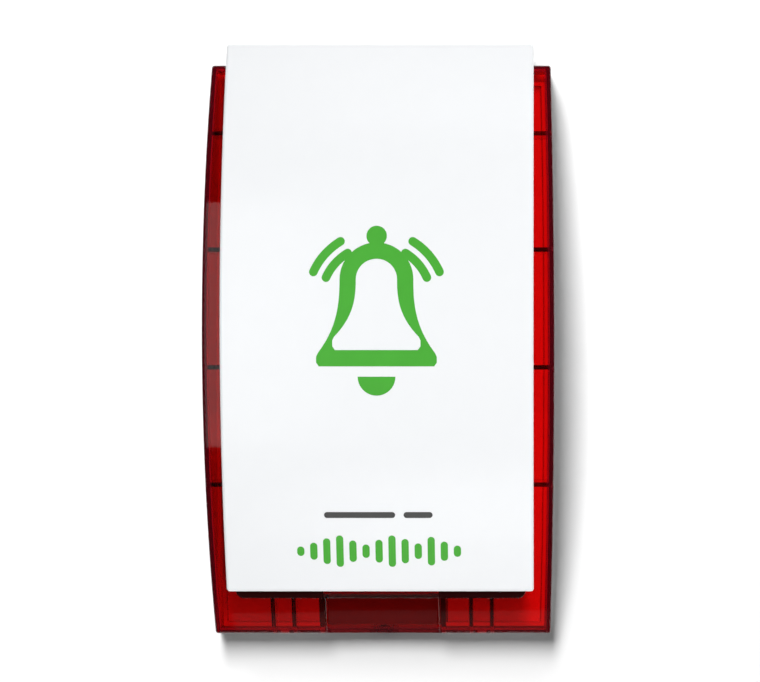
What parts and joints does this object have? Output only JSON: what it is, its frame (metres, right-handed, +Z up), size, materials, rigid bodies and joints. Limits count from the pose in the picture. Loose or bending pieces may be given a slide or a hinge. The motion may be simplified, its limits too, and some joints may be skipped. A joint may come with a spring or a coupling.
{
  "type": "alarm siren",
  "caption": "Wall-mounted alarm siren: arched white front cover over a bowed red beacon lens that hinges open from the back plate.",
  "frame": {"origin": "on the rear face of the back plate, which lies against the wall, level with the middle of the white front cover and on its centre line", "axes": "+Z up the wall, +X to the right seen from the front, +Y into the wall, so the front faces -Y"},
  "size_m": [0.1884, 0.08, 0.3217],
  "materials": {
    "white_cover": "smooth satin gloss",
    "white_base": "fine moulded texture",
    "red_lens": "see-through red polycarbonate",
    "black_rubber": "matt",
    "black_plastic": "fine moulded texture",
    "white_plastic": "smooth",
    "steel": "zinc plated",
    "brass": "turned",
    "circuit_board": "green solder resist",
    "white_board": "white solder resist",
    "led": "phosphor under clear silicone",
    "cell_wrap": "shrink sleeve",
    "terminal_green": "smooth",
    "button_red": "smooth",
    "capacitor_sleeve": "shrink sleeve",
    "lead_sheath": "soft PVC"
  },
  "bodies": {
    "base": {"back_plate": "white_base", "cable_grommet": "black_rubber", "lock_insert": "brass", "hinge_pin_left": "steel", "hinge_pin_right": "steel", "main_circuit_board": "circuit_board", "terminal_block": "terminal_green", "radio_module": "steel", "antenna": "brass", "learn_switch": "black_plastic", "storage_capacitor": "capacitor_sleeve", "battery_holder": "black_plastic", "battery_contact_top": "steel", "battery_contact_bottom": "steel", "battery_retainer": "black_plastic", "siren_horn": "black_plastic", "siren_horn_lid": "black_plastic", "siren_driver": "black_plastic", "piezo_disc": "brass", "siren_grille": "black_plastic", "strobe_board_left": "white_board", "strobe_board_right": "white_board", "cover_tamper_switch": "black_plastic", "cover_tamper_spring": "steel", "wall_tamper_switch": "black_plastic", "wall_tamper_spring": "steel", "strobe_lead_left": "lead_sheath", "strobe_lead_right": "lead_sheath", "siren_lead": "lead_sheath", "battery_lead": "lead_sheath", "board_screw_1": "steel", "horn_screw_1": "steel", "battery_cell_1": "cell_wrap", "board_screw_2": "steel", "horn_screw_2": "steel", "battery_cell_2": "cell_wrap", "board_screw_3": "steel", "horn_screw_3": "steel", "battery_cell_3": "cell_wrap", "board_screw_4": "steel", "horn_screw_4": "steel", "battery_cell_4": "cell_wrap", "strobe_led_left_1": "led", "strobe_led_left_2": "led", "strobe_led_left_3": "led", "strobe_led_right_1": "led", "strobe_led_right_2": "led", "strobe_led_right_3": "led"},
    "cover": {"lens": "red_lens", "cover_gasket": "black_rubber", "front_cover": "white_cover", "cover_screw_1": "steel", "cover_screw_2": "steel", "cover_screw_3": "steel", "cover_screw_4": "steel"},
    "lock_washer_body": {"lock_washer": "black_rubber"},
    "lock_screw_body": {"lock_screw": "steel"},
    "cover_plunger": {"cover_tamper_plunger": "white_plastic"},
    "wall_plunger": {"wall_tamper_plunger": "white_plastic"},
    "button": {"learn_button": "button_red"}
  },
  "joints": [
    {"name": "cover_hinge", "type": "hinge", "parent": "base", "child": "cover", "pos_m": [0, -0.011, 0.1412], "axis": [-1, 0, 0], "range_deg": [0, 90]},
    {"name": "lock_travel", "type": "slide", "parent": "cover", "child": "lock_washer_body", "axis": [0, 0, 1], "range_m": [0, 0.0028]},
    {"name": "lock_turn", "type": "hinge", "parent": "lock_washer_body", "child": "lock_screw_body", "pos_m": [0, -0.0086, -0.1725], "axis": [0, 0, 1], "range_deg": [0, 1440]},
    {"name": "cover_tamper_travel", "type": "slide", "parent": "base", "child": "cover_plunger", "axis": [0, -1, 0], "range_m": [0, 0.0025]},
    {"name": "wall_tamper_travel", "type": "slide", "parent": "base", "child": "wall_plunger", "axis": [0, 1, 0], "range_m": [0, 0.003], "stiffness_N_per_m": 60},
    {"name": "learn_press", "type": "slide", "parent": "base", "child": "button", "axis": [0, 1, 0], "range_m": [0, 0.0006], "stiffness_N_per_m": 900}
  ],
  "couplings": [
    {"joint": "lock_turn", "follows": "lock_travel", "rad_per_m": 8976},
    {"joint": "cover_tamper_travel", "follows": "cover_hinge", "m_per_rad": 0.0015915}
  ]
}
